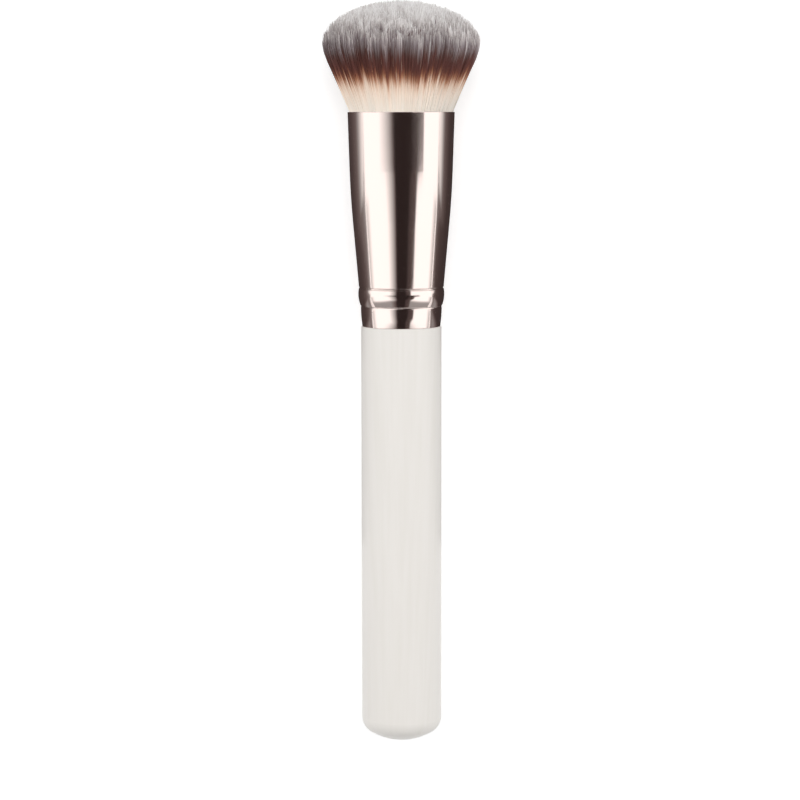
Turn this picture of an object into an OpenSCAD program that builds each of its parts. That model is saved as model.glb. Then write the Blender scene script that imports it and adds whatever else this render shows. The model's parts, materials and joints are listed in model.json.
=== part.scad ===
// Round buffing brush: a turned and lacquered wooden handle, a one-piece drawn metal ferrule and a
// dense knot of fibres that flares out of the ferrule and is trimmed to a dome. The brush can't
// stand on its rounded ends, so it lies as it comes to rest: on the rim of its head and on the
// corner of its handle's domed end. Each piece is drawn along its own axis, with Z = 0 at the
// mouth of the ferrule and the head above it, and is then laid down with the head towards +Y.

/* [Handle] */
// Diameter of the grip
handle_d = 18; // [17.9:0.1:18.4]
// Length of the grip, from the end of the ferrule to the tip of its domed end
handle_l = 94.4; // [80:0.2:110]
// Height of the domed end
end_dome_h = 5.1; // [4.5:0.1:6]
// Radius of the corner between the grip and the domed end
end_corner_r = 3.5; // [2.5:0.1:4]
// Length of the tenon
tenon_l = 20.7; // [19:0.1:22]
// Depth of the two glue grooves around the tenon
tenon_groove_depth = 0.5; // [0.3:0.1:0.8]
// Width of each glue groove
tenon_groove_w = 1.6; // [1:0.1:2.5]
// Chamfer of the grip's shoulder beside the ferrule
shoulder_chamfer = 0.2; // [0.1:0.05:0.25]

/* [Ferrule] */
// Length of the ferrule
ferrule_l = 47.7; // [47:0.1:49]
// Outside diameter of its mouth
mouth_d = 23.84; // [23.6:0.02:24.1]
// Thickness of the sheet
sheet_t = 0.3; // [0.25:0.05:0.3]
// Length of the upper stretch, which tapers least
upper_l = 13; // [10:0.5:15]
// Taper of the upper stretch, to each side, in degrees
upper_taper = 1.9; // [1.7:0.1:2.1]
// Length of the curve between the upper stretch and the cone
curve_l = 11; // [8:0.5:13]
// How far the cone's lower end stands out from the grip's surface
waist_proud = 0.48; // [0.4:0.02:0.6]
// Distance from the mouth down to the upper groove
upper_groove_z = 39; // [38.8:0.1:39.2]
// Distance from the mouth down to the lower groove
lower_groove_z = 43.2; // [43:0.1:43.4]
// Depth of the upper groove below the cone's lower end
upper_groove_depth = 0.12; // [0.08:0.02:0.2]
// Depth of the lower groove below the band
lower_groove_depth = 0.06; // [0.04:0.02:0.12]
// Radius of both grooves' sections
groove_r = 0.25; // [0.2:0.05:0.3]
// Radius of the bead's section between the grooves
bead_r = 7; // [6:0.1:9]
// How far the lower band stands out from the grip's surface, where it leaves the groove
band_proud = 0.06; // [0.04:0.02:0.1]
// Radius of the lower band's section, which rolls in to the handle
band_r = 30; // [26:1:40]
// How far the band's lower edge is rolled in below the grip's surface
roll_in = 0.28; // [0.22:0.02:0.32]

/* [Bristle head] */
// Height of the head above the ferrule's mouth
head_h = 24.5; // [22:0.1:27]
// Height of the head's widest part
rim_z = 15.6; // [14.5:0.1:16.5]
// Widest diameter of the head
rim_d = 34.4; // [33.6:0.1:35.4]
// Height up to which the flank flares straight, before it turns upright at the rim
bend_z = 11.2; // [10:0.1:13]
// Thickness of the resin plug that holds the roots, between them and the tenon
plug_h = 5; // [4:0.5:8]
// Number of locks around the rim
rim_locks = 72; // [48:4:84]
// Number of locks that end in the dome
dome_locks = 150; // [120:10:180]
// Depth of the furrows between locks
furrow = 0.4; // [0.3:0.05:0.6]
// Depth of the flat spot where the head rests on the floor
rest_flat = 0.35; // [0.3:0.05:0.6]
// Height at which the cream roots turn brown
brown_z = 7.6; // [6:0.1:9]
// Height at which the brown band turns grey
grey_z = 13; // [12:0.1:14]

/* [Fits] */
// Gap between the fibres and the ferrule
fibre_gap = 0.08; // [0.05:0.01:0.1]
// Gap between the tenon and the narrowest part of the ferrule's bore
tenon_gap = 0.07; // [0.05:0.01:0.12]
// Height of the open seam below the glue, inside the rolled-in edge
seam_h = 0.5; // [0.3:0.1:0.8]

/* [Colours] */
// Lacquer of the handle
handle_colour = "#EDE9E4";
// Polished metal of the ferrule
ferrule_colour = "#A98A80";
// Roots of the fibres
root_colour = "#EADFCE";
// Dark band of the fibres
band_colour = "#5A3A34";
// Tips of the fibres
tip_colour = "#C9C5C4";
// Cured resin and glue
resin_colour = "#D9CBA6";

/* [Hidden] */
// Steps around a turned piece
$fn = 96;
// Steps around the large circles that give the ferrule its curved stretches
arc_fn = 720;
// Reach of a cutting shape past what it cuts
past = 1;

// Radii, and heights of the places where pieces meet, along the brush's own axis
handle_r = handle_d / 2;
ferrule_end = -ferrule_l;
handle_end = ferrule_end - handle_l;
tenon_top = ferrule_end + tenon_l;
root_end = tenon_top + plug_h;

// Domed end of the handle: a cap that is tangent to the corner
corner_x = handle_r - end_corner_r;
corner_z = handle_end + end_dome_h;
cap_r = (corner_x^2 + end_dome_h^2 - end_corner_r^2) / (2 * (end_dome_h - end_corner_r));
cap_z = handle_end + cap_r;
cap_angle = atan2(cap_z - corner_z, corner_x);
cap_meet = [cap_r * cos(cap_angle), cap_z - cap_r * sin(cap_angle)];

// Outline of the ferrule as [radius, height]: the ends of its stretches, from the mouth down
mouth = [mouth_d / 2, 0];
upper_end = [mouth.x - upper_l * tan(upper_taper), -upper_l];
// Taper that brings the cone in to the grip, and the curve's radius that leads over to it
cone_l = upper_groove_z - upper_l - curve_l;
cone_drop = upper_end.x - handle_r - waist_proud - curve_l * tan(upper_taper) / 2;
cone_taper = atan(cone_drop / (cone_l + curve_l / 2));
curve_r = curve_l / (sin(cone_taper) - sin(upper_taper));
curve_end = [upper_end.x - curve_r * (cos(upper_taper) - cos(cone_taper)), -upper_l - curve_l];
cone_end = [curve_end.x - cone_l * tan(cone_taper), -upper_groove_z];
band_start = [handle_r + band_proud, -lower_groove_z];
rolled_end = [handle_r - roll_in, ferrule_end];
// Bottoms of the two grooves, and the tenon that passes the narrowest part of the bore
upper_groove = [cone_end.x - upper_groove_depth, cone_end.y];
lower_groove = [band_start.x - lower_groove_depth, band_start.y];
tenon_r = min(lower_groove.x, rolled_end.x) - sheet_t - tenon_gap;

// Outline of the head: straight flank, a curve that turns upright at the rim, and an elliptic dome
neck_r = mouth.x - sheet_t - fibre_gap;
rim_r = rim_d / 2;
flank_slope = 2 * (rim_r - neck_r) / (rim_z + bend_z);
function flank_x(z) =
    z < bend_z ? neck_r + flank_slope * z
    : rim_r - flank_slope * (rim_z - z)^2 / (2 * (rim_z - bend_z));
function dome_z(x) = rim_z + (head_h - rim_z) * sqrt(1 - (x / rim_r)^2);
root_x = upper_end.x - sheet_t - fibre_gap
    + (curve_end.x - upper_end.x) * (upper_end.y - root_end) / curve_l;

// Locks: six-sided bundles, wide enough at the rim for furrows of the stated depth between them
lock_sides = 6;
half_pitch = rim_r * sin(180 / rim_locks);
lock_r = (furrow^2 + half_pitch^2) / (2 * furrow);
disc_h = 0.02;
shoulder_angles = [17, 32];
// The ends of the dome's locks are spread evenly by turning each one by the golden angle
golden_angle = 180 * (3 - sqrt(5));
dome_reach = 0.9 * rim_r;
dome_pitch = dome_reach * sqrt(PI / dome_locks);
dome_lock_l = 0.8 * dome_pitch;
dome_lock_r = 0.63 * dome_pitch;
dome_tip_r = 0.22 * dome_pitch;
// Depth of the packed fibres under the locks' outer surface
cover = 2 / 3 * lock_r;
// How far the colours of one lock may be shifted along it, and the seed of those shifts
shade_spread = 1;
shade_seed = 7;

// Rest: the floor touches the handle's corner and cuts the flat spot into the rim
reach_x = rim_r - rest_flat - corner_x;
reach_z = rim_z - corner_z;
lean = acos(end_corner_r / norm([reach_x, reach_z])) - atan2(reach_z, reach_x);
axis_height = end_corner_r + corner_x * cos(lean) - corner_z * sin(lean);
// Ends of the brush along Y once it lies, about the mouth of the ferrule
head_reach = rim_z * cos(lean) + norm([rim_r * sin(lean), (head_h - rim_z) * cos(lean)]);
handle_reach = cap_r - cap_z * cos(lean);

// Lays a piece down from its own axis, with the middle of the brush over the origin
module laid() {
    translate([0, (handle_reach - head_reach) / 2, axis_height])
    rotate([lean - 90, 0, 0])
    children();
}

// Centre of the circle of radius r that bulges outwards from point a down to point b
function bulge_centre(a, b, r) =
    let (chord = a - b, half = norm(chord) / 2, away = sqrt(r^2 - half^2))
    (a + b) / 2 - away * [chord.y, -chord.x] / norm(chord);

// A straight turned stretch between two points of an outline, a above b, moved in by inset
module straight_stretch(a, b, inset = 0) {
    translate([0, 0, b.y])
    cylinder(r1 = b.x - inset, r2 = a.x - inset, h = a.y - b.y);
}

// The same, but it bulges outwards between a and b as an arc of radius r
module bulged_stretch(a, b, r, inset = 0) {
    rotate_extrude()
    intersection() {
        translate([0, b.y])
        square([max(a.x, b.x) + past, a.y - b.y]);
        translate(bulge_centre(a, b, r) - [inset, 0])
        circle(r = r, $fn = arc_fn);
    }
}

// All that lies inside the ferrule's outline, or inside its sheet when inset is the sheet's
// thickness. The grooves keep that thickness around them.
module inside_ferrule(inset = 0) {
    difference() {
        union() {
            straight_stretch(mouth, upper_end, inset);
            bulged_stretch(upper_end, curve_end, curve_r, inset);
            straight_stretch(curve_end, cone_end, inset);
            bulged_stretch(cone_end, band_start, bead_r, inset);
            bulged_stretch(band_start, rolled_end, band_r, inset);
        }
        for (groove = [upper_groove, lower_groove])
            rotate_extrude()
            translate(groove + [groove_r, 0])
            circle(r = groove_r + inset);
    }
}

// The tenon, which starts a little inside the grip
module tenon() {
    difference() {
        translate([0, 0, ferrule_end - past])
        cylinder(r = tenon_r, h = past + tenon_l);
        for (share = [1, 2] / 3)
            translate([0, 0, ferrule_end + tenon_l * share])
            difference() {
                cylinder(r = tenon_r + past, h = tenon_groove_w);
                cylinder(r = tenon_r - tenon_groove_depth, h = tenon_groove_w);
            }
    }
}

module handle() {
    shoulder = [handle_r - shoulder_chamfer, ferrule_end];
    grip_start = [handle_r, ferrule_end - shoulder_chamfer];
    grip_end = [handle_r, corner_z];
    color(handle_colour)
    laid() {
        tenon();
        straight_stretch(shoulder, grip_start);
        straight_stretch(grip_start, grip_end);
        bulged_stretch(grip_end, cap_meet, end_corner_r);
        bulged_stretch(cap_meet, [0, handle_end], cap_r);
        // The corner's circle doesn't reach the axis, so a core fills the end behind it
        straight_stretch([corner_x, corner_z + past], [corner_x, cap_meet.y]);
    }
}

module ferrule() {
    color(ferrule_colour)
    laid()
    difference() {
        inside_ferrule();
        inside_ferrule(sheet_t);
        for (end = [mouth, rolled_end])
            translate([0, 0, end.y])
            cylinder(r = end.x - sheet_t, h = 2 * past, center = true);
    }
}

// One length of a lock: it runs from radius ra at point a to radius rb at point b, each point
// being [distance from the axis, height]
module lock_length(a, b, ra, rb) {
    hull() {
        translate([a.x, 0, a.y])
        cylinder(r = ra, h = disc_h, center = true, $fn = lock_sides);
        translate([b.x, 0, b.y])
        cylinder(r = rb, h = disc_h, center = true, $fn = lock_sides);
    }
}

// A lock of the flank: it follows the flare, turns upright at the rim and ends over the shoulder
module rim_lock(shade_shift) {
    heights = [0, brown_z + shade_shift, grey_z + shade_shift, rim_z];
    flank = [for (z = heights) [flank_x(z), z]];
    shoulder = [for (a = shoulder_angles) [rim_r * cos(a), rim_z + (head_h - rim_z) * sin(a)]];
    outer = concat(flank, shoulder);
    width = [for (p = outer) lock_r * p.x / rim_r];
    line = [for (i = [0:len(outer) - 1]) outer[i] - [width[i], 0]];
    shades = [root_colour, band_colour, tip_colour, tip_colour, tip_colour];
    for (i = [0:len(shades) - 1])
        color(shades[i])
        lock_length(line[i], line[i + 1], width[i], width[i + 1]);
}

// The end of a lock in the dome, at distance x from the axis
module dome_lock(x) {
    tip = [x, dome_z(x)];
    run = tip - [x * neck_r / rim_r, 0];
    color(tip_colour)
    lock_length(tip - run * dome_lock_l / norm(run), tip, dome_lock_r, dome_tip_r);
}

// What lies under the locks: the roots inside the ferrule, and the packed fibres of the head
module packed_fibres() {
    heights = [0, bend_z, (bend_z + rim_z) / 2, rim_z];
    dome_steps = [15:15:75];
    color(root_colour)
    rotate_extrude($fn = rim_locks)
    polygon([
        [0, root_end],
        [root_x, root_end],
        [upper_end.x - sheet_t - fibre_gap, upper_end.y],
        [neck_r, 0],
        for (z = heights) [flank_x(z) * (rim_r - cover) / rim_r, z],
        for (a = dome_steps) [(rim_r - cover) * cos(a), rim_z + (head_h - rim_z - cover) * sin(a)],
        [0, head_h - cover]
    ]);
}

module bristles() {
    shifts = rands(-shade_spread, shade_spread, rim_locks, shade_seed);
    difference() {
        laid() {
            packed_fibres();
            for (i = [0:rim_locks - 1])
                rotate([0, 0, i * 360 / rim_locks])
                rim_lock(shifts[i]);
            for (i = [0:dome_locks - 1])
                rotate([0, 0, i * golden_angle])
                dome_lock(dome_reach * sqrt((i + 0.5) / dome_locks));
        }
        translate([-rim_d, -rim_d, -rim_d])
        cube([2 * rim_d, 4 * rim_d, rim_d]);
    }
}

module root_plug() {
    color(resin_colour)
    laid()
    intersection() {
        inside_ferrule(sheet_t);
        translate([0, 0, tenon_top])
        cylinder(d = mouth_d, h = plug_h);
    }
}

module tenon_glue() {
    color(resin_colour)
    laid()
    difference() {
        intersection() {
            inside_ferrule(sheet_t);
            translate([0, 0, ferrule_end + seam_h])
            cylinder(d = mouth_d, h = tenon_l - seam_h);
        }
        tenon();
    }
}

handle();
ferrule();
bristles();
root_plug();
tenon_glue();
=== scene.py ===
import json
import math

import bpy
from mathutils import Matrix, Vector


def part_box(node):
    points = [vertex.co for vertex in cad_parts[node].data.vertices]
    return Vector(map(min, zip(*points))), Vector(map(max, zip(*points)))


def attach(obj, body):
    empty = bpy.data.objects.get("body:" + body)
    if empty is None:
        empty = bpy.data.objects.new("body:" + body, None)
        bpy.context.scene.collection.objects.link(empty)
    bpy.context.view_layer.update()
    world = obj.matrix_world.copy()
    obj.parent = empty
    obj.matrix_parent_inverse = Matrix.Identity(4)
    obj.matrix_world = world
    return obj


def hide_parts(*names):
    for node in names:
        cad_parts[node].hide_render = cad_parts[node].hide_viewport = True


bl_info = {
    "name": "Round Buffing Brush",
    "version": (1, 0, 0),
    "blender": (4, 5, 0),
    "location": "3D View > Sidebar > Brush",
    "description": "Lacquer, polished ferrule, flared knot of fibres and a plain studio",
    "category": "Object",
}

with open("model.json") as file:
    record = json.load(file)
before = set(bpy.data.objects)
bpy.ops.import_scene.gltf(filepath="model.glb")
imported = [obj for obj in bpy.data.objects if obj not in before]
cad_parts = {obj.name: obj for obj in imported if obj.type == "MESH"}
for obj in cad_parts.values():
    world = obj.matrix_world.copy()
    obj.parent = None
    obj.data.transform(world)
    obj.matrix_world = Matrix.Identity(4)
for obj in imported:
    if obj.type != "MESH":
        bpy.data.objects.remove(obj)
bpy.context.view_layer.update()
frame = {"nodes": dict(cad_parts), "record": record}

MM = 0.001

# The grip's mount gives the brush's own axis, and the ferrule's far end gives its mouth
GRIP = frame["record"]["mounts"][0]
GRIP_MIDDLE = Vector(GRIP["pos_m"])
AXIS = -Vector(GRIP["axis"]).normalized()


def reach_along(node):
    """How far a CAD node reaches towards the head along the axis, from the grip's middle."""
    return max((v.co - GRIP_MIDDLE).dot(AXIS) for v in frame["nodes"][node].data.vertices)


MOUTH = GRIP_MIDDLE + AXIS * reach_along("ferrule")
# Angle at which the axis rises from the floor, and the turn about X that lays what is drawn upright onto it
AXIS_RISE = math.asin(AXIS.z)
LAY_ANGLE = AXIS_RISE - math.pi / 2
HEAD_LOW, HEAD_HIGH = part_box("bristles")

WHITE = (1, 1, 1, 1)


def colour(code):
    """Linear RGBA of an sRGB hex value."""
    parts = [int(code[i:i + 2], 16) / 255 for i in (1, 3, 5)]
    return (*[c / 12.92 if c <= 0.04045 else ((c + 0.055) / 1.055) ** 2.4 for c in parts], 1)


def add(tree, kind, sockets=None, **settings):
    """Adds a node with its settings. A socket takes a value, a node's first output or an output."""
    node = tree.nodes.new(kind)
    for name, value in settings.items():
        setattr(node, name, value)
    for key, value in (sockets or {}).items():
        if isinstance(value, bpy.types.Node):
            value = value.outputs[0]
        if isinstance(value, bpy.types.NodeSocket):
            tree.links.new(value, node.inputs[key])
        else:
            node.inputs[key].default_value = value
    return node


def new_material(name):
    """An empty node material and its tree."""
    material = bpy.data.materials.new(name)
    material.use_nodes = True
    material.node_tree.nodes.clear()
    return material, material.node_tree


def finish_material(tree, shader):
    """Joins a shader to the material's output."""
    add(tree, "ShaderNodeOutputMaterial", {"Surface": shader})


def dress(node, material):
    """Gives a CAD node its material in every slot."""
    slots = frame["nodes"][node].material_slots
    if not slots:
        frame["nodes"][node].data.materials.append(material)
    for slot in slots:
        slot.material = material


def mesh_piece(name, points, faces, material):
    """An object of one mesh, in the scene."""
    mesh = bpy.data.meshes.new(name)
    mesh.from_pydata(points, [], faces)
    mesh.materials.append(material)
    piece = bpy.data.objects.new(name, mesh)
    bpy.context.scene.collection.objects.link(piece)
    return piece


def paint(piece, attribute, values):
    """Gives each point of a piece's mesh a number that its material reads."""
    piece.data.attributes.new(attribute, "FLOAT", "POINT").data.foreach_set("value", values)


# Settings

def length(name, description, default):
    """A length in metres."""
    return bpy.props.FloatProperty(
        name=name, description=description, default=default, subtype="DISTANCE", unit="LENGTH", precision=5,
    )


def tint(name, description, code):
    """A colour that starts as an sRGB hex value."""
    return bpy.props.FloatVectorProperty(
        name=name, description=description, default=colour(code), subtype="COLOR", size=4, min=0, max=1,
    )


def share(name, description, default):
    """A number from 0 to 1."""
    return bpy.props.FloatProperty(
        name=name, description=description, default=default, min=0, max=1, subtype="FACTOR",
    )


def strength(name, description, default):
    """An amount of light, where 1 lights or looks like white paper."""
    return bpy.props.FloatProperty(name=name, description=description, default=default, min=0)


class LacquerSettings(bpy.types.PropertyGroup):
    """Finish of the handle."""

    base: tint("Lacquer", "Colour of the lacquer", "#F0ECE7")
    # Colour of the faint streaks along the handle, which are painted reflections
    reflection_streak: tint("Streaks", "Colour of the faint streaks in it", "#EDE9E3")
    roughness: share("Roughness", "Roughness of the lacquer", 0.36)


class FerruleSettings(bpy.types.PropertyGroup):
    """Finish of the ferrule."""

    base: tint("Metal", "Colour of the metal", "#DDCEC8")
    roughness: share("Roughness", "Roughness of the polished metal", 0.1)
    edge: length("Edge", "Radius to which edges are polished", 0.2 * MM)


class ResinSettings(bpy.types.PropertyGroup):
    """Colours of the cured resin."""

    plug: tint("Root plug", "Colour of the resin poured over the roots", "#D9CBA6")
    glue: tint("Glue", "Colour of the glue around the tenon", "#CDBB8F")
    bubble: tint("Bubbles", "Colour of the small bubbles in both", "#F1E6C9")


class FibreSettings(bpy.types.PropertyGroup):
    """Sizes of the knot of fibres. Heights are above the ferrule's mouth."""

    neck_r: length("Neck radius", "Radius of the knot where it leaves the ferrule", 11.46 * MM)
    rim_r: length("Rim radius", "Radius of the knot at its widest place", (HEAD_HIGH.x - HEAD_LOW.x) / 2)
    rim_h: length("Rim height", "Height of the widest place", 15.6 * MM)
    bend_h: length("Bend height", "Height up to which the flank flares straight", 11.2 * MM)
    head_h: length("Head height", "Height of the dome", reach_along("bristles") - reach_along("ferrule"))
    root_l: length("Root length", "Length of the long fibres inside the mouth", 2 * MM)
    dome_l: length("Dome length", "Length to which the short fibres are modelled", 7 * MM)
    # Real fibres are about half as thick. That is too fine to show, so they are drawn as coarse as they need
    thickness: length("Fibre", "Diameter of a fibre", 0.17 * MM)
    tip: length("Tip", "Diameter of a fibre's tip", 0.08 * MM)
    taper: length("Taper", "Length over which a fibre tapers to its tip", 4 * MM)
    length_spread: length("Length spread", "How much fibres differ in length, up and down", 0.6 * MM)
    lock_spread: length("Lock spread", "How much locks differ in length, up and down", 0.55 * MM)
    lock_width: length("Lock width", "Width of a lock of fibres", 0.8 * MM)
    lock_sway: length("Lock sway", "How far a lock's tips lean to a side", 0.45 * MM)
    fibre_sway: length("Fibre sway", "How far a fibre's tip leans out of its lock", 0.45 * MM)
    band_spread: length("Band spread", "How much the dyed band shifts from lock to lock", 0.75 * MM)
    tip_loss: length("Tip loss", "What shaping the dome took off the tips at its rim", 2.6 * MM)
    long_count: bpy.props.IntProperty(
        name="Long fibres", description="Fibres of the flank, modelled from the mouth to the tip",
        default=6400, min=1,
    )
    short_count: bpy.props.IntProperty(
        name="Short fibres", description="Fibres of the dome, modelled near their tips",
        default=19600, min=1,
    )
    seed: bpy.props.IntProperty(name="Seed", description="Seed of all that is random in the knot", default=5)


class StageSettings(bpy.types.PropertyGroup):
    """Floor, lamps and camera."""

    floor: tint("Floor", "Colour of the floor", "#E8E8E8")
    fill: strength("Fill", "Even light from all round", 0.36)
    front: strength("Front lamp", "Light from above", 0.51)
    left: strength("Left lamp", "Light from the left", 0.3)
    right: strength("Right lamp", "Light from the right", 0.31)
    card: strength("Cards", "Brightness of the white cards", 1.6)
    brown: tint("Brown", "Colour that a card turns to where it is dark", "#FFD8D4")
    lens: bpy.props.FloatProperty(
        name="Lens", description="Focal length of the camera", default=115,
        subtype="DISTANCE_CAMERA", unit="CAMERA",
    )


# Handle

def lacquer_material(settings):
    """Polyurethane lacquer, sprayed in an ivory tint over turned hardwood and rubbed down."""
    # It gives the eye an even, silky white with broad soft lights and no grain
    material, tree = new_material("sprayed_ivory_lacquer")
    place = add(tree, "ShaderNodeTexCoord").outputs["Object"]
    # Faint streaks along the handle, this wide and long: painted reflections running along the lacquer
    streak_width, streak_length = 1.2 * MM, 60 * MM
    along = add(tree, "ShaderNodeMapping", {
        "Vector": place, "Rotation": (-AXIS_RISE, 0, 0), "Scale": (1, streak_width / streak_length, 1),
    })
    streaks = add(tree, "ShaderNodeTexNoise", {"Vector": along, "Scale": 1 / streak_width, "Detail": 3})
    streaked = add(tree, "ShaderNodeMapRange", {"Value": streaks, "From Min": 0.35, "From Max": 0.7})
    base = add(
        tree, "ShaderNodeMix", {"Factor": streaked, "A": settings.base, "B": settings.reflection_streak}, data_type="RGBA",
    ).outputs["Result"]
    # Orange peel of the sprayed coat: how far its bumps are apart, and how high they are
    peel_width, peel_height = 0.9 * MM, 0.0008 * MM
    peel = add(tree, "ShaderNodeTexNoise", {"Vector": place, "Scale": 1 / peel_width, "Detail": 1})
    bump = add(tree, "ShaderNodeBump", {"Height": peel, "Distance": peel_height, "Strength": 1})
    finish_material(tree, add(tree, "ShaderNodeBsdfPrincipled", {
        "Base Color": base, "Roughness": settings.roughness, "IOR": 1.5, "Normal": bump,
        "Specular IOR Level": 0.3,
    }))
    return material


class BRUSH_OT_handle(bpy.types.Operator):
    """Lacquers the handle"""

    bl_idname = "brush.handle"
    bl_label = "Handle"

    def execute(self, context):
        dress("handle", lacquer_material(context.scene.brush_lacquer))
        return {"FINISHED"}


# Ferrule

def metal_material(settings):
    """Drawn aluminium tube, polished to a mirror and anodised rose-brown."""
    # It gives the eye a warm mirror, with crisp white and black stripes that run along the tube
    material, tree = new_material("polished_anodised_aluminium")
    place = add(tree, "ShaderNodeTexCoord").outputs["Object"]
    # Polishing leaves a faint haze in patches of this width
    haze_width = 4 * MM
    haze = add(tree, "ShaderNodeTexNoise", {"Vector": place, "Scale": 1 / haze_width, "Detail": 2})
    rough = add(tree, "ShaderNodeMapRange", {
        "Value": haze, "To Min": settings.roughness * 0.85, "To Max": settings.roughness * 1.15,
    })
    edges = add(tree, "ShaderNodeBevel", {"Radius": settings.edge}, samples=4)
    finish_material(tree, add(tree, "ShaderNodeBsdfPrincipled", {
        "Base Color": settings.base, "Metallic": 1, "Roughness": rough, "Normal": edges,
    }))
    return material


class BRUSH_OT_ferrule(bpy.types.Operator):
    """Polishes the ferrule"""

    bl_idname = "brush.ferrule"
    bl_label = "Ferrule"

    def execute(self, context):
        dress("ferrule", metal_material(context.scene.brush_ferrule))
        return {"FINISHED"}


# Resin

def resin_material(name, base, bubble):
    """Epoxy, poured and left to cure."""
    # It gives the eye a glossy amber with small pale bubbles
    material, tree = new_material(name)
    place = add(tree, "ShaderNodeTexCoord").outputs["Object"]
    # The bubbles lie this far apart
    bubble_gap = 1.5 * MM
    bubbles = add(tree, "ShaderNodeTexVoronoi", {"Vector": place, "Scale": 1 / bubble_gap})
    clear = add(tree, "ShaderNodeMapRange", {"Value": bubbles, "From Max": 0.4})
    shade = add(
        tree, "ShaderNodeMix", {"Factor": clear, "A": bubble, "B": base}, data_type="RGBA",
    ).outputs["Result"]
    finish_material(tree, add(tree, "ShaderNodeBsdfPrincipled", {
        "Base Color": shade, "Roughness": 0.15, "IOR": 1.55,
    }))
    return material


class BRUSH_OT_resin(bpy.types.Operator):
    """Gives the root plug and the glue around the tenon their cured resin"""

    bl_idname = "brush.resin"
    bl_label = "Resin and glue"

    def execute(self, context):
        s = context.scene.brush_resin
        dress("root_plug", resin_material("cured_epoxy_plug", s.plug, s.bubble))
        dress("tenon_glue", resin_material("cured_epoxy_glue", s.glue, s.bubble))
        return {"FINISHED"}


# Bristles

# Colour of a fibre at each distance from its tip, in millimetres
DYE = [
    (0, "#EBEAE9"), (1.3, "#E4E1E0"), (2.1, "#D6D0CE"), (2.8, "#C3BBB9"), (3.6, "#A79B9D"), (4.5, "#938687"),
    (5.5, "#7F6C6B"), (6.3, "#6E534E"), (7.1, "#653F39"), (8.5, "#673F39"), (9.5, "#74473C"), (10.4, "#95604A"),
    (11.2, "#BE8B6D"), (12.1, "#E2C3AD"), (13, "#F2DDCC"), (14.5, "#F9EADC"), (18, "#F8F0E6"),
]
DYE_END = DYE[-1][0]


def fibre_material():
    """PBT fibre, drawn, tapered at its end and dyed."""
    # It gives the eye fine soft hair with a silky gloss, dark between its pale root and its grey tip
    material, tree = new_material("tapered_dyed_fibre")
    from_tip = add(tree, "ShaderNodeAttribute", attribute_name="from_tip").outputs["Fac"]
    shade = add(tree, "ShaderNodeAttribute", attribute_name="fibre_shade").outputs["Fac"]
    # The dye starts up to 1.3 mm nearer to the tip or further from it in one fibre than in the next, and its
    # other end up to 0.5 mm
    uneven = add(tree, "ShaderNodeMapRange", {
        "Value": from_tip, "From Min": 4, "From Max": 9, "To Min": 2.6, "To Max": 1,
    })
    early = add(tree, "ShaderNodeMath", {0: 0.5, 1: shade}, operation="SUBTRACT")
    shifted = add(tree, "ShaderNodeMath", {0: early, 1: uneven, 2: from_tip}, operation="MULTIPLY_ADD")
    ramp = add(tree, "ShaderNodeValToRGB", {
        0: add(tree, "ShaderNodeMapRange", {"Value": shifted, "From Max": DYE_END}),
    })
    for _ in DYE[2:]:
        ramp.color_ramp.elements.new(0.5)
    for element, (distance, code) in zip(ramp.color_ramp.elements, DYE):
        element.position = distance / DYE_END
        element.color = colour(code)
    # Fibres and locks differ in tone along the dyed length, as uneven dye and as painted shade in the gaps
    # between locks and painted sheen on them; the tips and the cream roots hardly do
    in_tips = add(tree, "ShaderNodeMapRange", {
        "Value": from_tip, "From Min": 0.5, "From Max": 3.5, "To Min": 0.3, "To Max": 1,
    })
    in_roots = add(tree, "ShaderNodeMapRange", {
        "Value": from_tip, "From Min": 9, "From Max": 12.5, "To Min": 0.42, "To Max": 0.04,
    })
    depth = add(tree, "ShaderNodeMath", {0: in_tips, 1: in_roots}, operation="MULTIPLY")
    # From -1 for the darkest fibre to 0.5 for the palest, as few stand out as paler than the rest
    side = add(tree, "ShaderNodeMath", {0: shade, 1: 1.5, 2: -1}, operation="MULTIPLY_ADD")
    # This tone darkens and pales fibres and locks: uneven dye, painted shade in the gaps between locks and
    # painted sheen on them
    dye_and_shade_tone = add(tree, "ShaderNodeMath", {0: depth, 1: side, 2: 1.04}, operation="MULTIPLY_ADD")
    toned = add(tree, "ShaderNodeVectorMath", {0: ramp, "Scale": dye_and_shade_tone}, operation="SCALE")
    finish_material(tree, add(tree, "ShaderNodeBsdfPrincipled", {
        "Base Color": toned, "Roughness": 0.45, "IOR": 1.5, "Specular IOR Level": 0.35,
    }))
    return material


KNOT_INPUTS = {
    "NodeSocketInt": ["Fibres", "Points per fibre", "Seed"],
    "NodeSocketFloat": [
        "Innermost", "Outermost", "Neck radius", "Rim radius", "Rim height", "Bend height", "Head height",
        "Root length", "Modelled length", "Thickness", "Tip thickness", "Taper length", "Length spread",
        "Lock spread", "Lock width", "Lock sway", "Fibre sway", "Band spread", "Tip loss", "Lay angle",
    ],
    "NodeSocketVector": ["Mouth"],
    "NodeSocketMaterial": ["Material"],
}


def open_tree(name, inputs):
    """A geometry tree with inputs that are given as {type: names}, and the sockets that hand them out."""
    tree = bpy.data.node_groups.new(name, "GeometryNodeTree")
    tree.interface.new_socket("Geometry", in_out="OUTPUT", socket_type="NodeSocketGeometry")
    for kind, labels in inputs.items():
        for label in labels:
            tree.interface.new_socket(label, in_out="INPUT", socket_type=kind)
    return tree, add(tree, "NodeGroupInput").outputs


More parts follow.
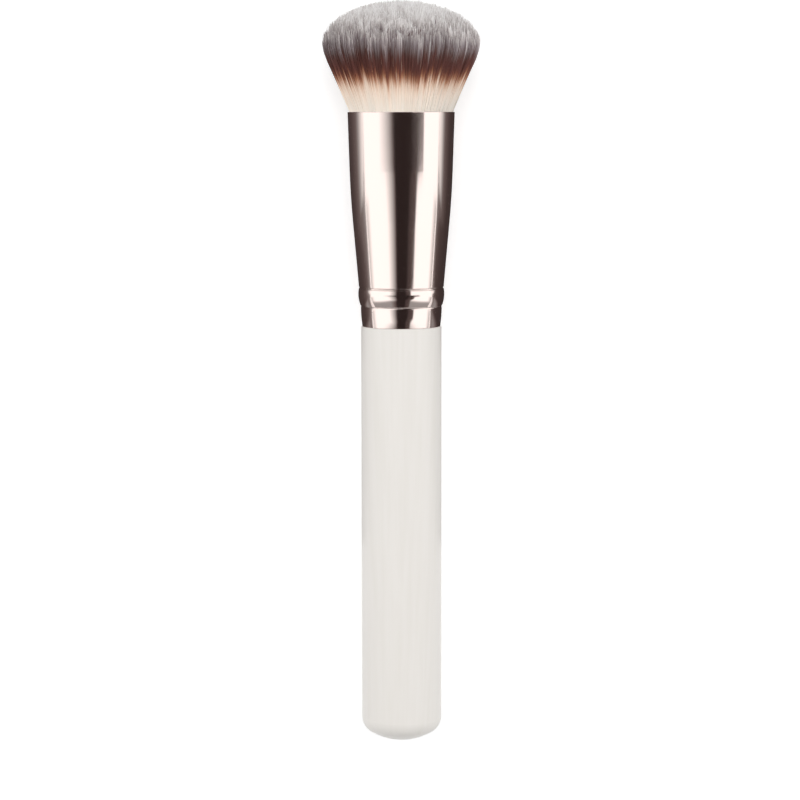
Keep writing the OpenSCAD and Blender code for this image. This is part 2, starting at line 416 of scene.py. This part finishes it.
def fibre_tree():
    """Fibres spread evenly over a part of the knot's section, each led along the flare to the dome."""
    tree, given = open_tree("knot_of_fibres", KNOT_INPUTS)
    per_fibre, seed = given["Points per fibre"], given["Seed"]
    rim_h, bend_h = given["Rim height"], given["Bend height"]

    # Which fibre a point belongs to, and how far along it the point is, from 0 to 1 at the tip
    count = add(tree, "FunctionNodeIntegerMath", {0: given["Fibres"], 1: per_fibre}, operation="MULTIPLY")
    index = add(tree, "GeometryNodeInputIndex")
    fibre = add(tree, "FunctionNodeIntegerMath", {0: index, 1: per_fibre}, operation="DIVIDE_FLOOR")
    step = add(tree, "FunctionNodeIntegerMath", {0: index, 1: per_fibre}, operation="MODULO")
    last = add(tree, "FunctionNodeIntegerMath", {0: per_fibre, 1: 1}, operation="SUBTRACT")
    along = add(tree, "ShaderNodeMath", {0: step, 1: last}, operation="DIVIDE")

    # Place in the section, spread evenly: a share of its area and a turn about the axis. Each fibre draws three
    # times, with numbers that no other draw has
    area = add(tree, "FunctionNodeRandomValue", {
        "Min": given["Innermost"], "Max": given["Outermost"], "ID": fibre, "Seed": seed,
    }).outputs["Value"]
    out_share = add(tree, "ShaderNodeMath", {0: area}, operation="SQRT")
    second = add(tree, "FunctionNodeIntegerMath", {0: fibre, 1: count})
    turn = add(tree, "FunctionNodeRandomValue", {"Max": math.tau, "ID": second, "Seed": seed}).outputs["Value"]
    round_axis = add(tree, "ShaderNodeCombineXYZ", {
        "X": add(tree, "ShaderNodeMath", {0: turn}, operation="COSINE"),
        "Y": add(tree, "ShaderNodeMath", {0: turn}, operation="SINE"),
    })
    third = add(tree, "FunctionNodeIntegerMath", {0: second, 1: count})
    own = add(tree, "FunctionNodeRandomValue", {
        "Min": (-1, -1, -1), "Max": (1, 1, 1), "ID": third, "Seed": seed,
    }, data_type="FLOAT_VECTOR").outputs["Value"]
    own_parts = add(tree, "ShaderNodeSeparateXYZ", {0: own}).outputs

    # Locks: three numbers from -1 to 1 that neighbouring fibres share, spread out from the noise's usual range
    spot_r = add(tree, "ShaderNodeMath", {0: out_share, 1: given["Rim radius"]}, operation="MULTIPLY")
    spot = add(tree, "ShaderNodeVectorMath", {0: round_axis, "Scale": spot_r}, operation="SCALE")
    lock_noise = add(tree, "ShaderNodeTexNoise", {
        "Vector": spot, "Detail": 1,
        "Scale": add(tree, "ShaderNodeMath", {0: 1, 1: given["Lock width"]}, operation="DIVIDE"),
    })
    lock = add(tree, "ShaderNodeMapRange", {
        "Vector": lock_noise.outputs["Color"], "From Min": (0.3, 0.3, 0.3), "From Max": (0.7, 0.7, 0.7),
        "To Min": (-1, -1, -1), "To Max": (1, 1, 1),
    }, data_type="FLOAT_VECTOR", clamp=False).outputs["Vector"]
    lock_parts = add(tree, "ShaderNodeSeparateXYZ", {0: lock}).outputs

    # Height of the tip on the dome, and of the point
    dome_h = add(tree, "ShaderNodeMath", {0: given["Head height"], 1: rim_h}, operation="SUBTRACT")
    inner_area = add(tree, "ShaderNodeMath", {0: 1, 1: area}, operation="SUBTRACT")
    rise = add(tree, "ShaderNodeMath", {0: inner_area}, operation="SQRT")
    dome = add(tree, "ShaderNodeMath", {0: dome_h, 1: rise, 2: rim_h}, operation="MULTIPLY_ADD")
    longest = add(tree, "ShaderNodeMath", {0: dome, 1: given["Length spread"]}, operation="SUBTRACT")
    lock_tip = add(tree, "ShaderNodeMath", {
        0: lock_parts["Z"], 1: given["Lock spread"], 2: longest,
    }, operation="MULTIPLY_ADD")
    tip = add(tree, "ShaderNodeMath", {
        0: own_parts["Z"], 1: given["Length spread"], 2: lock_tip,
    }, operation="MULTIPLY_ADD")
    modelled = add(tree, "ShaderNodeMath", {0: tip, 1: given["Modelled length"]}, operation="SUBTRACT")
    root = add(tree, "ShaderNodeMath", {0: 0, 1: given["Root length"]}, operation="SUBTRACT")
    start = add(tree, "ShaderNodeMath", {0: modelled, 1: root}, operation="MAXIMUM")
    height = add(tree, "ShaderNodeMix", {"Factor": along, "A": start, "B": tip})

    # Radius of the flank at that height: straight up to the bend, then turning upright at the rim
    risen = add(tree, "ShaderNodeClamp", {"Value": height, "Min": 0, "Max": rim_h})
    below_bend = add(tree, "ShaderNodeMath", {0: risen, 1: bend_h}, operation="MINIMUM")
    past_bend = add(tree, "ShaderNodeMath", {0: risen, 1: below_bend}, operation="SUBTRACT")
    squared = add(tree, "ShaderNodeMath", {0: past_bend, 1: 2}, operation="POWER")
    bend_length = add(tree, "ShaderNodeMath", {0: rim_h, 1: bend_h}, operation="SUBTRACT")
    twice_bend = add(tree, "ShaderNodeMath", {0: bend_length, 1: 2}, operation="MULTIPLY")
    held_back = add(tree, "ShaderNodeMath", {0: squared, 1: twice_bend}, operation="DIVIDE")
    flared = add(tree, "ShaderNodeMath", {0: risen, 1: held_back}, operation="SUBTRACT")
    flare = add(tree, "ShaderNodeMath", {0: given["Rim radius"], 1: given["Neck radius"]}, operation="SUBTRACT")
    twice_flare = add(tree, "ShaderNodeMath", {0: flare, 1: 2}, operation="MULTIPLY")
    both_heights = add(tree, "ShaderNodeMath", {0: rim_h, 1: bend_h}, operation="ADD")
    slope = add(tree, "ShaderNodeMath", {0: twice_flare, 1: both_heights}, operation="DIVIDE")
    flank = add(tree, "ShaderNodeMath", {0: slope, 1: flared, 2: given["Neck radius"]}, operation="MULTIPLY_ADD")
    out = add(tree, "ShaderNodeMath", {0: flank, 1: out_share}, operation="MULTIPLY")

    # The point beside the upright axis, swayed with its lock and by itself, more towards the tip
    upright = add(tree, "ShaderNodeVectorMath", {
        0: add(tree, "ShaderNodeVectorMath", {0: round_axis, "Scale": out}, operation="SCALE"),
        1: add(tree, "ShaderNodeCombineXYZ", {"Z": height}),
    })
    sway = add(tree, "ShaderNodeVectorMath", {
        0: add(tree, "ShaderNodeVectorMath", {0: lock, "Scale": given["Lock sway"]}, operation="SCALE"),
        1: add(tree, "ShaderNodeVectorMath", {0: own, "Scale": given["Fibre sway"]}, operation="SCALE"),
    })
    bend = add(tree, "ShaderNodeMath", {0: along, 1: 2}, operation="POWER")
    bent = add(tree, "ShaderNodeVectorMath", {0: sway, "Scale": bend}, operation="SCALE")
    sideways = add(tree, "ShaderNodeVectorMath", {0: bent, 1: (1, 1, 0)}, operation="MULTIPLY")
    swayed = add(tree, "ShaderNodeVectorMath", {0: upright, 1: sideways})

    # Laid down with the brush, and never through the floor
    laid = add(tree, "ShaderNodeVectorMath", {
        0: add(tree, "ShaderNodeVectorRotate", {
            "Vector": swayed, "Angle": given["Lay angle"],
        }, rotation_type="X_AXIS"),
        1: given["Mouth"],
    })
    to_tip = add(tree, "ShaderNodeMath", {0: tip, 1: height}, operation="SUBTRACT")
    thickness = add(tree, "ShaderNodeMapRange", {
        "Value": to_tip, "From Max": given["Taper length"],
        "To Min": given["Tip thickness"], "To Max": given["Thickness"],
    })
    radius = add(tree, "ShaderNodeMath", {0: thickness, 1: 0.5}, operation="MULTIPLY")
    laid_parts = add(tree, "ShaderNodeSeparateXYZ", {0: laid}).outputs
    resting = add(tree, "ShaderNodeCombineXYZ", {
        "X": laid_parts["X"], "Y": laid_parts["Y"],
        "Z": add(tree, "ShaderNodeMath", {0: laid_parts["Z"], 1: radius}, operation="MAXIMUM"),
    })
    points = add(tree, "GeometryNodePoints", {"Count": count, "Position": resting})

    # For the dye: millimetres from where the tip was before the dome was shaped, which took most off the outer
    # fibres, shifted a little from lock to lock, and a shade from 0 to 1 that is partly the lock's, which the
    # material turns into uneven dye, painted shade between the locks and painted sheen on them
    lower = add(tree, "ShaderNodeMath", {0: 1, 1: rise}, operation="SUBTRACT")
    uncut = add(tree, "ShaderNodeMath", {0: lower, 1: given["Tip loss"], 2: to_tip}, operation="MULTIPLY_ADD")
    shifted = add(tree, "ShaderNodeMath", {
        0: lock_parts["X"], 1: given["Band spread"], 2: uncut,
    }, operation="MULTIPLY_ADD")
    in_mm = add(tree, "ShaderNodeMath", {0: shifted, 1: 1 / MM}, operation="MULTIPLY")
    banded = add(tree, "GeometryNodeStoreNamedAttribute", {
        "Geometry": points, "Name": "from_tip", "Value": in_mm,
    })
    by_fibre, by_lock = 0.3, 0.36
    own_shade = add(tree, "ShaderNodeMath", {0: own_parts["X"], 1: by_fibre, 2: 0.5}, operation="MULTIPLY_ADD")
    shade = add(tree, "ShaderNodeMath", {
        0: lock_parts["Y"], 1: by_lock, 2: own_shade,
    }, operation="MULTIPLY_ADD", use_clamp=True)
    shaded = add(tree, "GeometryNodeStoreNamedAttribute", {
        "Geometry": banded, "Name": "fibre_shade", "Value": shade,
    })

    # Three-sided tubes through the points
    curves = add(tree, "GeometryNodePointsToCurves", {"Points": shaded, "Curve Group ID": fibre, "Weight": step})
    tubes = add(tree, "GeometryNodeCurveToMesh", {
        "Curve": curves, "Scale": radius, "Fill Caps": True,
        "Profile Curve": add(tree, "GeometryNodeCurvePrimitiveCircle", {"Resolution": 3, "Radius": 1}),
    })
    real = add(tree, "GeometryNodeRealizeInstances", {0: tubes})
    painted = add(tree, "GeometryNodeSetMaterial", {0: real, "Material": given["Material"]})
    add(tree, "NodeGroupOutput", {0: painted})
    return tree


def grow(name, tree, values):
    """Runs a tree with the named values and keeps the result as a plain mesh."""
    piece = bpy.data.objects.new(name, bpy.data.meshes.new(name))
    bpy.context.scene.collection.objects.link(piece)
    modifier = piece.modifiers.new(name, "NODES")
    modifier.node_group = tree
    for socket in tree.interface.items_tree:
        if socket.in_out == "INPUT":
            modifier[socket.identifier] = values[socket.name]
    graph = bpy.context.evaluated_depsgraph_get()
    mesh = bpy.data.meshes.new_from_object(
        piece.evaluated_get(graph), preserve_all_data_layers=True, depsgraph=graph,
    )
    piece.modifiers.remove(modifier)
    piece.data = mesh
    mesh.shade_smooth()
    return piece


# How far the packed core stays under the fibres at the mouth and from the rim on, and its least height above the
# floor
CORE_SINK_MOUTH, CORE_SINK, CORE_FLOOR = 0.39 * MM, 1.3 * MM, 0.1 * MM
# Radius and height of the core's outline inside the ferrule, from the middle of its end
CORE_ROOT = [(0, -22 * MM), (10.3 * MM, -22 * MM), (10.9 * MM, -13 * MM)]
# Steps of the outline along the flank and again over the dome, and around the axis
CORE_STEPS, CORE_SIDES = 12, 120
# Millimetres by which the core is coloured as if it lay further from its tips, and its tone, both a little
# darker than the fibres: painted shade for the gaps between them
CORE_PAINTED_DEPTH, CORE_PAINTED_SHADE = 1, 0.2


def packed_core(s, material):
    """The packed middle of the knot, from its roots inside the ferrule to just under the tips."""
    slope = 2 * (s.rim_r - s.neck_r) / (s.rim_h + s.bend_h)
    outline = list(CORE_ROOT)
    for i in range(CORE_STEPS + 1):
        z = s.rim_h * i / CORE_STEPS
        past = max(z - s.bend_h, 0)
        flank = s.neck_r + slope * (z - past**2 / (2 * (s.rim_h - s.bend_h)))
        sink = CORE_SINK_MOUTH + (CORE_SINK - CORE_SINK_MOUTH) * i / CORE_STEPS
        outline.append((flank - sink, z))
    for i in range(1, CORE_STEPS + 1):
        a = math.pi / 2 * i / CORE_STEPS
        dome = (s.head_h - s.rim_h - 2 * CORE_SINK) * math.sin(a)
        outline.append(((s.rim_r - CORE_SINK) * math.cos(a), s.rim_h + dome))

    lay = Matrix.Rotation(LAY_ANGLE, 3, "X")
    points, distances, rings = [], [], []
    for x, z in outline:
        rise = math.sqrt(1 - min(x / s.rim_r, 1) ** 2)
        tip = s.rim_h + (s.head_h - s.rim_h) * rise
        sides = 1 if x < 0.001 * MM else CORE_SIDES
        rings.append([len(points) + i % sides for i in range(CORE_SIDES + 1)])
        for i in range(sides):
            a = math.tau * i / sides
            laid = lay @ Vector((x * math.cos(a), x * math.sin(a), z)) + MOUTH
            laid.z = max(laid.z, CORE_FLOOR)
            points.append(laid)
            distances.append((tip - z + s.tip_loss * (1 - rise)) / MM + CORE_PAINTED_DEPTH)
    # Four corners each, or three where a ring is a single point
    faces = [
        list(dict.fromkeys([low[i], low[i + 1], high[i + 1], high[i]]))
        for low, high in zip(rings, rings[1:]) for i in range(CORE_SIDES)
    ]
    core = mesh_piece("packed_core", points, faces, material)
    core.data.shade_smooth()
    # The core is coloured darker than the fibres over it, as painted shade in the gaps between them
    paint(core, "from_tip", distances)
    paint(core, "fibre_shade", [CORE_PAINTED_SHADE] * len(points))
    return core


class BRUSH_OT_bristles(bpy.types.Operator):
    """Grows the knot of fibres over a packed core"""

    bl_idname = "brush.bristles"
    bl_label = "Bristles"

    def execute(self, context):
        s = context.scene.brush_fibres
        material = fibre_material()
        tree = fibre_tree()
        shared = {
            "Neck radius": s.neck_r, "Rim radius": s.rim_r - s.thickness, "Rim height": s.rim_h,
            "Bend height": s.bend_h, "Head height": s.head_h, "Root length": s.root_l,
            "Thickness": s.thickness, "Tip thickness": s.tip, "Taper length": s.taper,
            "Length spread": s.length_spread, "Lock spread": s.lock_spread, "Lock width": s.lock_width,
            "Lock sway": s.lock_sway, "Fibre sway": s.fibre_sway, "Band spread": s.band_spread,
            "Tip loss": s.tip_loss, "Lay angle": LAY_ANGLE, "Mouth": MOUTH, "Material": material,
        }
        half_long, half_short = s.long_count // 2, s.short_count // 2
        # Longer than any fibre, for those that are modelled from their roots
        whole = 1
        # Name, number of fibres, points along each, shares of the section's area that they start and end at,
        # length to which they are modelled, and what sets their seed apart
        groups = [
            ("flank_fibres_1", half_long, 9, 0.94, 1, whole, 1),
            ("flank_fibres_2", s.long_count - half_long, 9, 0.76, 0.94, whole, 2),
            ("dome_fibres_1", half_short, 4, 0, 0.8, s.dome_l, 3),
            ("dome_fibres_2", s.short_count - half_short, 4, 0, 0.8, s.dome_l, 4),
        ]
        pieces = []
        for name, count, per_fibre, inner, outer, modelled, turn in groups:
            piece = grow(name, tree, {
                **shared, "Fibres": count, "Points per fibre": per_fibre, "Innermost": inner, "Outermost": outer,
                "Modelled length": modelled, "Seed": s.seed * 10 + turn,
            })
            # Thin pale fibres pass light on to each other, so only the core under them casts a shadow
            piece.visible_shadow = False
            pieces.append(piece)
        pieces.append(packed_core(s, material))
        for piece in pieces:
            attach(piece, "root")
            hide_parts("bristles")
        return {"FINISHED"}


# Stage: places are in metres, angles in degrees, and a glow of 1 is as bright as white paper

# Half the floor's width, where its own glow starts to rise and where it is full, and its glow up to there
FLOOR_REACH, GLOW_NEAR, GLOW_FAR, GLOW_LEAST = 3, 0.25, 1, 0.42
# Distance of the lamps, how far they stand towards the head, their size, and the angle of the side lamps
LAMP_REACH, LAMP_SHIFT, LAMP_SIZE, LAMP_ANGLE = 1.4, 0.4, (0.8, 1.2), 60
# Distance of the tent of cards round the brush, and the angles at which it ends and has its full white
TENT_REACH, TENT_END, TENT_WHITE = 1.6, 89.6, 78
# Glow of the tent's dark gap and of both sides of its brown edge, and how far past the gap that edge starts
DARK, BROWN_FROM, BROWN_TO, BROWN_STEP = 0.033, 0.085, 0.12, 2
# Glow under which a card is tinted brown, the more the darker it is
TINTED_UNDER = 0.4
# Height of the shade cards above the floor, and where along the brush each row of their glows lies
SHADE_HEIGHT = 0.5 * MM
SHADE_ROWS = [(0.1, "mouth"), (0.03, "mouth"), (0.008, "waist"), (0, "grip"), (-0.04, "grip")]
# Glows of the shade cards beside the ferrule's mouth, its waist and the grip: (distance across, glow)
SHADES = {
    "left_shade": {
        "mouth": [(-0.008, 0.06), (-0.024, 0.08), (-0.053, 0.195), (-0.127, 0.89), (-0.3, 1.3), (-1, 1.5)],
        "waist": [(-0.008, 0.06), (-0.03, 0.08), (-0.088, 0.195), (-0.3, 0.55), (-0.5, 0.65), (-1, 0.75)],
        "grip": [(-0.008, 0.55), (-0.03, 0.44), (-0.088, 0.25), (-0.3, 0.45), (-0.5, 0.6), (-1, 0.75)],
    },
    "right_shade": {
        "mouth": [(0.008, 0.05), (0.031, 0.07), (0.066, 0.195), (0.13, 0.89), (0.3, 1.3), (1, 1.5)],
        "waist": [(0.008, 0.05), (0.04, 0.07), (0.185, 0.195), (0.4, 0.45), (0.6, 0.5), (1, 0.55)],
        "grip": [(0.008, 0.5), (0.04, 0.38), (0.185, 0.22), (0.4, 0.42), (0.6, 0.5), (1, 0.55)],
    },
}
# Place of the camera, which looks down on the lying brush, and its turns about X, Y and Z
CAMERA_PLACE = (-0.00028, 0.02937, 0.58677)
CAMERA_TURN = (-3.487, 0, -0.062)


def sees_background(tree):
    """1 for the rays that see the background: the camera's, and those of metal and glass."""
    path = add(tree, "ShaderNodeLightPath").outputs
    mirrored = add(
        tree, "ShaderNodeMath", {0: path["Is Glossy Ray"], 1: path["Is Transmission Ray"]}, operation="MAXIMUM",
    )
    return add(tree, "ShaderNodeMath", {0: path["Is Camera Ray"], 1: mirrored}, operation="MAXIMUM")


def light_world(fill):
    """An even fill light that looks white."""
    world = bpy.data.worlds.new("studio")
    bpy.context.scene.world = world
    world.use_nodes = True
    tree = world.node_tree
    tree.nodes.clear()
    level = add(tree, "ShaderNodeMix", {"Factor": sees_background(tree), "A": fill, "B": 1})
    sky = add(tree, "ShaderNodeBackground", {"Color": WHITE, "Strength": level})
    add(tree, "ShaderNodeOutputWorld", {"Surface": sky})


def paper_material(base):
    """Uncoated white background paper."""
    # It gives the eye a white without gloss that hides where the floor ends
    material, tree = new_material("matt_white_paper")
    # Further out the paper glows more, so that it stays white to the horizon
    place = add(tree, "ShaderNodeTexCoord").outputs["Object"]
    away = add(tree, "ShaderNodeVectorMath", {0: place}, operation="LENGTH").outputs["Value"]
    outwards = add(tree, "ShaderNodeMapRange", {
        "Value": away, "From Min": GLOW_NEAR, "From Max": GLOW_FAR, "To Min": GLOW_LEAST, "To Max": 1,
    })
    shown = add(tree, "ShaderNodeMath", {0: sees_background(tree), 1: outwards}, operation="MULTIPLY")
    glow = add(tree, "ShaderNodeEmission", {"Color": WHITE, "Strength": shown})
    paper = add(tree, "ShaderNodeBsdfDiffuse", {"Color": base})
    finish_material(tree, add(tree, "ShaderNodeAddShader", {0: paper, 1: glow}))
    return material


def across(angle, reach):
    """A place at an angle from straight above the brush, to the right, and its distance."""
    turn = math.radians(angle)
    return Vector((math.sin(turn) * reach, 0, math.cos(turn) * reach + MOUTH.z))


def lamp(name, angle, level):
    """A soft lamp along the brush that lights it evenly."""
    light = bpy.data.lights.new(name, "AREA")
    light.shape = "RECTANGLE"
    light.size, light.size_y = LAMP_SIZE
    light.energy = level * math.pi**2 * LAMP_REACH**2
    piece = bpy.data.objects.new(name, light)
    piece.location = across(angle, LAMP_REACH) + Vector((0, LAMP_SHIFT, 0))
    piece.rotation_euler = (0, math.radians(angle), 0)
    piece.visible_glossy = False
    bpy.context.scene.collection.objects.link(piece)


def card_material(brown):
    """Studio card that shines as brightly as each of its points says."""
    # It gives the eye the metal's stripes: white where it is bright, and brown where it is dark
    material, tree = new_material("studio_card")
    material.cycles.emission_sampling = "NONE"
    glow = add(tree, "ShaderNodeAttribute", attribute_name="glow").outputs["Fac"]
    white = add(tree, "ShaderNodeMath", {0: glow, 1: 1 / TINTED_UNDER}, operation="MULTIPLY", use_clamp=True)
    tinted = add(tree, "ShaderNodeMix", {"Factor": white, "A": brown, "B": WHITE}, data_type="RGBA")
    finish_material(tree, add(tree, "ShaderNodeEmission", {
        "Color": tinted.outputs["Result"], "Strength": glow,
    }))
    return material


def card(name, sections, material):
    """A card that only polished surfaces see. Each section is a place along the brush and its (x, z, glow)."""
    points = [(x, y, z) for y, places in sections for x, z, _ in places]
    row = len(sections[0][1])
    faces = [
        (i + j, i + j + 1, i + j + row + 1, i + j + row)
        for i in range(0, len(points) - row, row) for j in range(row - 1)
    ]
    piece = mesh_piece(name, points, faces, material)
    paint(piece, "glow", [glow for _, places in sections for *_, glow in places])
    piece.visible_camera = False
    piece.visible_diffuse = False
    piece.visible_shadow = False
    piece.visible_transmission = False


def tent_section(y, white_left, dark_left, dark_right, brown, white_right, low_left, low_right, white):
    """A section of the tent: white to the left, a dark gap above, a brown edge, white to the right. The first
    value is its place along the brush, the next five are angles and the last three are the glow just above the
    floor to the left and right and that of the white."""
    places = [
        (-TENT_END, low_left), (-TENT_WHITE, white), (white_left, white), (dark_left, DARK), (dark_right, DARK),
        (dark_right + BROWN_STEP, BROWN_FROM), (brown, BROWN_TO), (white_right, white), (TENT_WHITE, white),
        (TENT_END, low_right),
    ]
    return y, [(across(angle, TENT_REACH).x, across(angle, TENT_REACH).z, glow) for angle, glow in places]


def tent_sections(white):
    """The tent from beyond the head to beyond the handle, which gives the ferrule its stripes."""
    return [tent_section(*values) for values in [
        (6, -32, -12, 11, 24, 27, 0.2, 0.2, 0.2),
        (2.5, -32, -12, 11, 24, 27, 0.35, 0.35, 0.35),
        (1.5, -32, -12, 11, 24, 27, 0.6, 0.6, 0.6),
        (0.8, -32, -12, 11, 24, 27, white, white, white),
        (-0.052, -32, -12, 11, 24, 27, white, white, white),
        # What the upper stretch mirrors, where the dark gap is widest
        (-0.066, -50, -18, 42, 49.8, 51.2, white, white, white),
        (-0.138, -50, -18, 42, 49.8, 51.2, white, white, white),
        (-0.16, -41, -15, 27, 42, 44.5, white, white, white),
        (-0.18, -37.8, -13.7, 21.5, 37.3, 39.7, 0.9, 0.8, white),
        (-0.21, -36, -12.5, 18.5, 35, 37.5, 0.75, 0.55, white),
        # What the cone mirrors
        (-0.43, -33, -11.5, 16, 32.5, 35, 0.75, 0.55, white),
        (-0.51, -32, -10.5, 11.5, 26.5, 29, 0.75, 0.55, white),
        # What the bead's lower half and the rolled-in edge mirror
        (-0.62, -32, -12, 10.5, 24, 26, 0.6, 0.5, 0.8),
        (-0.75, -32, -12, 10.5, 24, 26, 0.42, 0.42, 0.45),
        (-1.3, -32, -12, 10.5, 24, 26, 0.42, 0.42, 0.42),
        (-2.5, -32, -12, 10.5, 24, 26, 0.5, 0.5, 0.5),
        (-6, -32, -12, 10.5, 24, 26, 0.5, 0.5, 0.5),
    ]]


class BRUSH_OT_stage(bpy.types.Operator):
    """Sets up the floor, the lamps, the cards and the camera"""

    bl_idname = "brush.stage"
    bl_label = "Stage"

    def execute(self, context):
        s = context.scene.brush_stage
        scene = context.scene
        scene.view_settings.view_transform = "Standard"
        light_world(s.fill)

        reach = FLOOR_REACH
        corners = [(-reach, -reach, 0), (reach, -reach, 0), (reach, reach, 0), (-reach, reach, 0)]
        floor = mesh_piece("floor", corners, [(0, 1, 2, 3)], paper_material(s.floor))

        lamp("front_lamp", 0, s.front)
        lamp("left_lamp", -LAMP_ANGLE, s.left)
        lamp("right_lamp", LAMP_ANGLE, s.right)

        material = card_material(s.brown)
        card("tent", tent_sections(s.card), material)
        # Cards beside the brush that darken the edges of its metal
        for name, glows in SHADES.items():
            card(name, [
                (y, [(x, SHADE_HEIGHT, glow) for x, glow in glows[row]]) for y, row in SHADE_ROWS
            ], material)

        lens = bpy.data.cameras.new("camera")
        lens.lens = s.lens
        camera = bpy.data.objects.new("camera", lens)
        camera.location = CAMERA_PLACE
        camera.rotation_euler = [math.radians(turn) for turn in CAMERA_TURN]
        scene.collection.objects.link(camera)
        scene.camera = camera
        return {"FINISHED"}


class BRUSH_PT_sidebar(bpy.types.Panel):
    """Lists the brush's pieces and settings"""

    bl_idname = "BRUSH_PT_sidebar"
    bl_label = "Buffing Brush"
    bl_space_type = "VIEW_3D"
    bl_region_type = "UI"
    bl_category = "Brush"

    def draw(self, context):
        for operator, group in PIECES.items():
            box = self.layout.box()
            box.operator(operator)
            settings = getattr(context.scene, group)
            for name in settings.__annotations__:
                box.prop(settings, name)


PIECES = {
    "brush.handle": "brush_lacquer",
    "brush.ferrule": "brush_ferrule",
    "brush.resin": "brush_resin",
    "brush.bristles": "brush_fibres",
    "brush.stage": "brush_stage",
}
SETTINGS = {
    "brush_lacquer": LacquerSettings,
    "brush_ferrule": FerruleSettings,
    "brush_resin": ResinSettings,
    "brush_fibres": FibreSettings,
    "brush_stage": StageSettings,
}
CLASSES = [
    *SETTINGS.values(), BRUSH_OT_handle, BRUSH_OT_ferrule, BRUSH_OT_resin, BRUSH_OT_bristles, BRUSH_OT_stage,
    BRUSH_PT_sidebar,
]


def register():
    for cls in CLASSES:
        bpy.utils.register_class(cls)
    for name, cls in SETTINGS.items():
        setattr(bpy.types.Scene, name, bpy.props.PointerProperty(type=cls))


def unregister():
    for name in SETTINGS:
        delattr(bpy.types.Scene, name)
    for cls in reversed(CLASSES):
        bpy.utils.unregister_class(cls)


def main():
    register()
    bpy.ops.brush.handle()
    bpy.ops.brush.ferrule()
    bpy.ops.brush.resin()
    bpy.ops.brush.bristles()
    bpy.ops.brush.stage()


if __name__ == "__main__":
    main()
